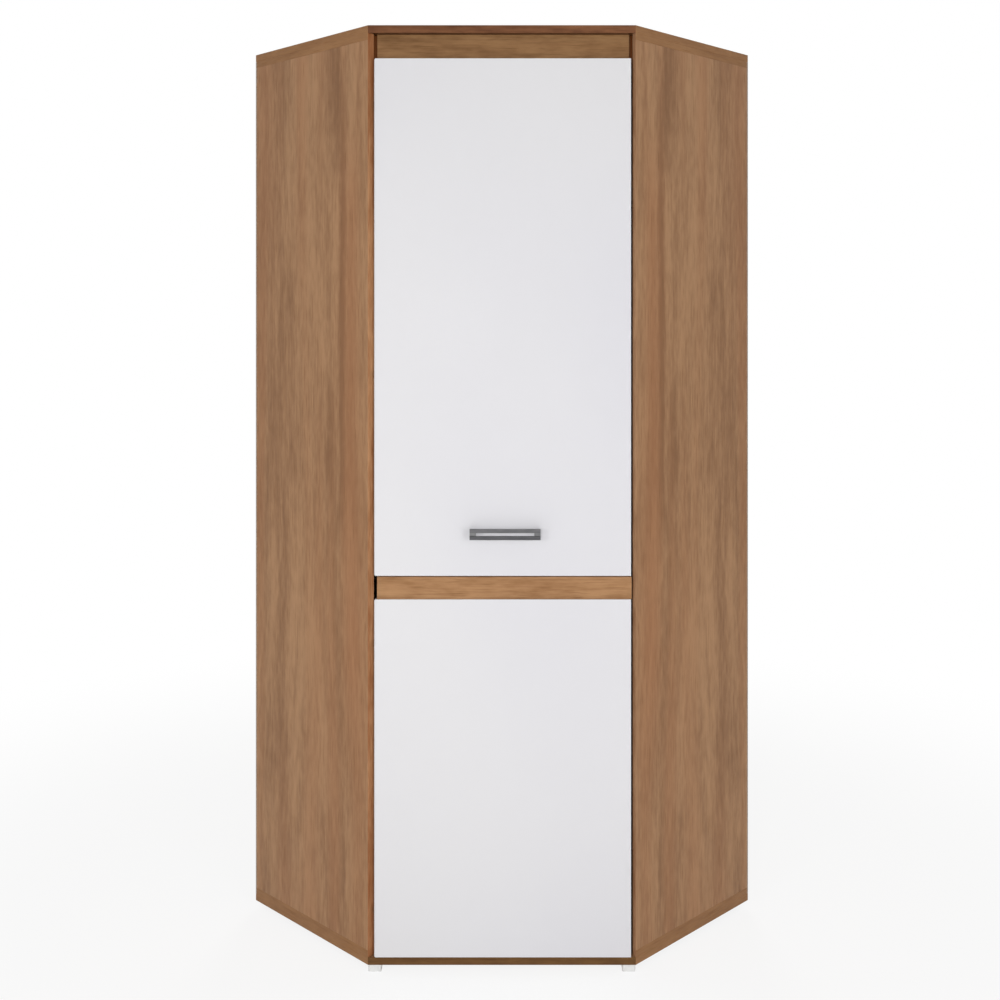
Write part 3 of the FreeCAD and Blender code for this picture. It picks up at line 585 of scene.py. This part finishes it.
# Cam locks and bolts. Zinc castings pressed into the boards, each with a shallow rim round a cross-shaped
# drive, and the nickel-plated bolts that they draw in.
CAM_RADIUS = 0.0076
CAM_RISE = 0.0007
CAM_FLOOR_SHARE = 0.08
CAM_EDGE_SHARE = 0.1
CAM_SMOOTH = 0.5
CROSS_HALF = 0.0012
CROSS_REACH = 0.0052
CROSS_WALL = 0.0004
BELOW_SHELF = 0.01
NEAR_RAIL = 0.006


def solids(node):
    """The separate solids of a CAD node, each as an array of its vertices. Vertices in one place count as
    one, and each takes the lowest number among its neighbours until nothing changes, which leaves one number
    per solid."""
    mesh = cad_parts[node].data
    points = places(node).astype(float)
    same = np.unique((points / SAME_POINT).round(), axis=0, return_inverse=True)[1].ravel()
    ends = np.empty(len(mesh.edges) * 2, np.int32)
    mesh.edges.foreach_get("vertices", ends)
    ends = same[ends].reshape(-1, 2)
    number = np.arange(same.max() + 1)
    settled = False
    while not settled:
        lower = number.copy()
        np.minimum.at(lower, ends, number[ends].min(1, keepdims=True))
        settled = (lower == number).all()
        number = lower
    return [points[number[same] == solid] for solid in np.unique(number)]


def cam_face(centre, first, second, outward, rings=26, turns=72):
    """The shown end of a cam, as points by ring and turn: a disc at the rim's rise that falls nearly to the
    board, by a short slope inside a cross of two bars and by a rounded one over the last tenth of the
    radius."""
    share = np.linspace(0, 1, rings + 1)[:, None]
    turn = np.arange(turns) * 2 * np.pi / turns
    x, y = CAM_RADIUS * share * np.cos(turn), CAM_RADIUS * share * np.sin(turn)
    narrow, wide = np.minimum(abs(x), abs(y)), np.maximum(abs(x), abs(y))
    wall = np.maximum(narrow - CROSS_HALF, wide - CROSS_REACH)
    step = np.clip(wall / CROSS_WALL + 0.5, 0, 1) * np.clip((1 - share) / CAM_EDGE_SHARE, 0, 1) ** 0.5
    rise = CAM_RISE * (CAM_FLOOR_SHARE + (1 - CAM_FLOOR_SHARE) * step)
    points = centre + x[..., None] * first + y[..., None] * second + rise[..., None] * outward
    return np.concatenate([points, centre + x[-1:, :, None] * first + y[-1:, :, None] * second])


rail_middle = np.mean(span("top_front_rail", BACK))
cams = []
for cam in solids("cam_locks"):
    middle = (cam.min(0) + cam.max(0)) / 2
    in_shelf = shelf_low.z - BELOW_SHELF < middle[2] < shelf_high.z
    above_shelf = abs(middle[0]) < front_half and middle[2] > shelf_high.z
    in_rail = above_shelf and abs(middle[1] - rail_middle) < NEAR_RAIL
    if in_shelf:
        outward, first = np.array([0.0, 0.0, -1.0]), np.array(ACROSS, float)
    elif in_rail:
        outward, first = np.array(BACK, float), np.array(ACROSS, float)
    else:
        outward, first = np.array([-np.sign(middle[0]) * DIAGONAL, DIAGONAL, 0.0]), np.array(UP, float)
    centre = middle + ((cam @ outward).max() - middle @ outward) * outward
    cams.append(cam_face(centre, first, np.cross(outward, first), outward))
cams = np.array(cams)
cam_zinc = plated("cam_casting", paint(172, 172, 170), paint(150, 151, 150), 0.42, 1200.0)
piece("cam_faces", cams, turned_faces(cams), (cam_zinc,), "carcass", "nickel_fittings", "cam_locks",
      smooth=CAM_SMOOTH)
wear(nickel, "cam_bolts")


# Door panels. Two fibreboard panels under white high-gloss foil, with rounded front corners on the hinge
# side and matt backs. The backing board behind them joins them into one leaf.
MATT_START, MATT_FULL = 0.0012, 0.0006
gloss, gloss_shader, place = finish("white_gloss_foil", coat_weight=0.6, coat_roughness=0.02)
door_back = span("upper_door_panel", BACK)[1]
width, height = place.along(ACROSS), place.along(UP)
matt = place.along(BACK).ramp(door_back - MATT_START, door_back - MATT_FULL)
drift = noise(width, height, 12.0, (1.4, 0.9), 1.0)
peel = noise(width, height, 14.0, (160.0, 160.0), 1.0)
face = drift.ramp(0.25, 0.75).mix(paint(226, 225, 227), paint(220, 219, 224))
matt.mix(face, paint(228, 228, 226)).into(gloss_shader, "Base Color")
(matt * 0.36 + peel * 0.03 + 0.05).into(gloss_shader, "Roughness")
relief(peel, 0.000006).into(gloss_shader, "Normal")
wear(gloss, "upper_door_panel", "lower_door_panel")


# Door strip and backing board. A wood decor lath lies between the panels, set a little behind their faces, on
# a white melamine board that is screwed to both panels.
FRONT = (ACROSS, UP, BACK)
strip_decor = wood("decor_strip", ACROSS, UP, paint(112, 74, 41), paint(185, 144, 104), paint(161, 111, 69),
                   heart=0.79, seed=101)
slab("door_strip", upright("door_strip", FRONT), FRONT, (strip_decor,), PLAIN_EDGES, body="door")
melamine, melamine_shader, place = finish("white_melamine", specular_ior_level=0.4)
width, height = place.along(ACROSS), place.along(UP)
cloud = noise(width, height, 16.0, (30.0, 30.0))
pearl = noise(width, height, 18.0, (1500.0, 1500.0))
cloud.ramp(0.3, 0.7).mix(paint(230, 230, 227), paint(227, 227, 224)).into(melamine_shader, "Base Color")
(pearl * 0.18 + 0.34).into(melamine_shader, "Roughness")
relief(pearl, 0.00004).into(melamine_shader, "Normal")
slab("door_backing_board", upright("door_backing_board", FRONT), FRONT, (melamine,), PLAIN_EDGES, body="door",
     slot="white_melamine")
wear(zinc, "backing_screws")


# Handle. Two flat bars of satin grey metal lap over the noses of two cast posts, with a slot between them;
# screws come from behind the door. The lower bar is painted a shade darker than the upper one: painted
# shade on a copy of the same metal.
def satin(name, colour, shade):
    """Brushed metal: fine scratches along the bar, and a cloudy tint."""
    material, shader, place = finish(name, metallic=1.0)
    across, along = place.along((0, 1, 1)), place.along(ACROSS)
    brushing = noise(across, along, 22.0, (2600.0, 24.0))
    cloud = noise(across, along, 24.0, (90.0, 30.0))
    cloud.ramp(0.3, 0.7).mix(colour, shade).into(shader, "Base Color")
    (brushing * 0.22 + 0.26).into(shader, "Roughness")
    relief(brushing, 0.00003).into(shader, "Normal")
    return material


wear(satin("satin_upper", paint(128, 127, 129), paint(114, 114, 116)), "handle_upper_bar")
# The upper bar's metal painted darker: painted shade on the lower bar.
wear(satin("satin_lower_painted_shade", paint(108, 108, 110), paint(94, 94, 97)), "handle_lower_bar")
wear(satin("cast_posts", paint(148, 148, 148), paint(128, 128, 130)), "handle_posts")
wear(zinc, "handle_screws")


# Concealed hinges. Four nickel-plated sets: a plate screwed to the left side panel, an arm on it, and a cup
# let into the door, joined by a pin.
wear(nickel, "hinge_plates", "hinge_arms", "hinge_cups", "hinge_pins")
wear(zinc, "hinge_plate_screws", "hinge_arm_screws", "hinge_cup_screws")


# Studio floor. A pale floor that keeps the wardrobe's shadow near it and is plain white further out. It also
# shows white in gloss and through clear rubber.
FLOOR_HALF = 40.0
FLOOR_COLOUR = (0.92, 0.92, 0.92, 1)
SHADOW_NEAR, SHADOW_FAR = 0.9, 2.4
GLOW_NEAR = 0.85
WHITE = (1, 1, 1, 1)


def on_view(wire):
    """1 on the rays that show the studio: straight to the camera, in gloss or through clear things."""
    shown = wire.node("LightPath", {}, {}, "Is Camera Ray")
    for ray in ("Is Glossy Ray", "Is Transmission Ray"):
        shown = shown.math("MAXIMUM", shown, wire.node("LightPath", {}, {}, ray))
    return shown


floor_corners = np.array([(-1, -1, 0), (1, -1, 0), (1, 1, 0), (-1, 1, 0)]) * FLOOR_HALF
floor_mesh = bpy.data.meshes.new("studio_floor")
floor_mesh.from_pydata(floor_corners.tolist(), [], [(0, 1, 2, 3)])
floor = bpy.data.objects.new("studio_floor", floor_mesh)
bpy.context.scene.collection.objects.link(floor)
floor_finish, floor_shader, place = finish("studio_floor", base_color=FLOOR_COLOUR, roughness=0.9)
floor_tree = floor_finish.node_tree
distance = place.node("VectorMath", {"operation": "LENGTH"}, {0: place}, "Value")
white_share = distance.ramp(SHADOW_NEAR, SHADOW_FAR) * (1 - GLOW_NEAR) + GLOW_NEAR
lit = Wire(floor_tree, floor_shader.outputs[0])
glow = place.node("Emission", {}, {"Color": WHITE, "Strength": 1.0})
white_floor = place.node("MixShader", {}, {0: on_view(place) * white_share, 1: lit, 2: glow})
white_floor.into(floor_tree.nodes["Material Output"], "Surface")
floor_mesh.materials.append(floor_finish)


# Studio light. An even white room, a small key lamp on the left, a wider fill on the right and a lamp beside
# the camera that reaches behind the handle, all at eye height and aimed low so that the foot of the door is
# about as light as its top. A lamp behind lights the back sheets. The gloss shows the room alone.
ROOM_LIGHT = 0.36
LAMP_AIM = (0, 0, 0.15)
LAMPS = (
    ("key", (-1.9, -3.3, 1.42), 0.6, 19.5),
    ("fill", (1.9, -3.6, 1.4), 1.4, 28.0),
    ("front", (-0.25, -3.1, 1.38), 0.4, 20.0),
    ("back", (0.3, 4.4, 1.8), 1.6, 80.0),
)
world = bpy.data.worlds.new("studio")
bpy.context.scene.world = world
world.use_nodes = True
background = world.node_tree.nodes["Background"]
background.inputs["Color"].default_value = WHITE
room = on_view(Wire(world.node_tree, background.outputs[0]))
(room * (1 - ROOM_LIGHT) + ROOM_LIGHT).into(background, "Strength")
for name, stand, size, power in LAMPS:
    lamp = bpy.data.lights.new(name, "AREA")
    lamp.size = size
    lamp.energy = power
    holder = bpy.data.objects.new(name, lamp)
    holder.location = stand
    holder.rotation_euler = (Vector(LAMP_AIM) - Vector(stand)).to_track_quat("-Z", "Y").to_euler()
    holder.visible_camera = False
    holder.visible_glossy = False
    bpy.context.scene.collection.objects.link(holder)


# Camera. Level, in front of the door at eye height, with the lens shifted down so that the whole wardrobe is
# in the frame and its uprights stay upright.
CAMERA_DISTANCE = 2.576
CAMERA_HEIGHT = 1.346
lens = bpy.data.cameras.new("camera")
lens.sensor_width = 36.0
lens.lens = 44.7
lens.shift_x = -0.0019
lens.shift_y = -0.177
camera = bpy.data.objects.new("camera", lens)
camera.location = (0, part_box("top_board")[0].y - CAMERA_DISTANCE, CAMERA_HEIGHT)
camera.rotation_euler = (np.pi / 2, 0, 0)
bpy.context.scene.collection.objects.link(camera)
bpy.context.scene.camera = camera
bpy.context.scene.view_settings.view_transform = "Standard"
